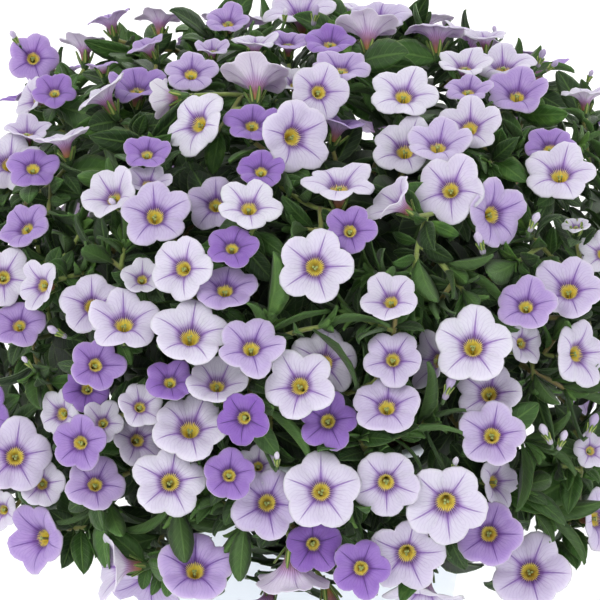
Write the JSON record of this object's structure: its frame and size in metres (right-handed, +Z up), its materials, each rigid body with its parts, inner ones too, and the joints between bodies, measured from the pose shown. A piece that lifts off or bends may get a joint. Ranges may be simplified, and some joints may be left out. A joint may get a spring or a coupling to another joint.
{
  "type": "potted calibrachoa",
  "caption": "Mounded calibrachoa in full bloom in a plain round pale plastic nursery pot, with trumpet blooms from near white to violet over small green leaves",
  "frame": {"origin": "the middle of the pot's underside, on the ground", "axes": "+Z up the pot's axis; -Y towards the side that the picture shows; +X to the right in the picture"},
  "size_m": [0.334, 0.3408, 0.2995],
  "materials": {
    "pot_plastic": "smooth satin moulded plastic",
    "potting_soil": null,
    "leaf_and_petal": "soft thin petals with dark veins, and leaves with fine hairs"
  },
  "bodies": {
    "root": {"leafy_stem_01": "leaf_and_petal", "leafy_stem_02": "leaf_and_petal", "leafy_stem_03": "leaf_and_petal", "leafy_stem_04": "leaf_and_petal", "leafy_stem_05": "leaf_and_petal", "leafy_stem_06": "leaf_and_petal", "leafy_stem_07": "leaf_and_petal", "leafy_stem_08": "leaf_and_petal", "leafy_stem_09": "leaf_and_petal", "leafy_stem_10": "leaf_and_petal", "leafy_stem_11": "leaf_and_petal", "leafy_stem_12": "leaf_and_petal", "leafy_stem_13": "leaf_and_petal", "leafy_stem_14": "leaf_and_petal", "leafy_stem_15": "leaf_and_petal", "leafy_stem_16": "leaf_and_petal", "leafy_stem_17": "leaf_and_petal", "leafy_stem_18": "leaf_and_petal", "leafy_stem_19": "leaf_and_petal", "leafy_stem_20": "leaf_and_petal", "leafy_stem_21": "leaf_and_petal", "leafy_stem_22": "leaf_and_petal", "leafy_stem_23": "leaf_and_petal", "leafy_stem_24": "leaf_and_petal", "leafy_stem_25": "leaf_and_petal", "leafy_stem_26": "leaf_and_petal", "leafy_stem_27": "leaf_and_petal", "leafy_stem_28": "leaf_and_petal", "pot": "pot_plastic", "soil": "potting_soil"}
  },
  "joints": []
}
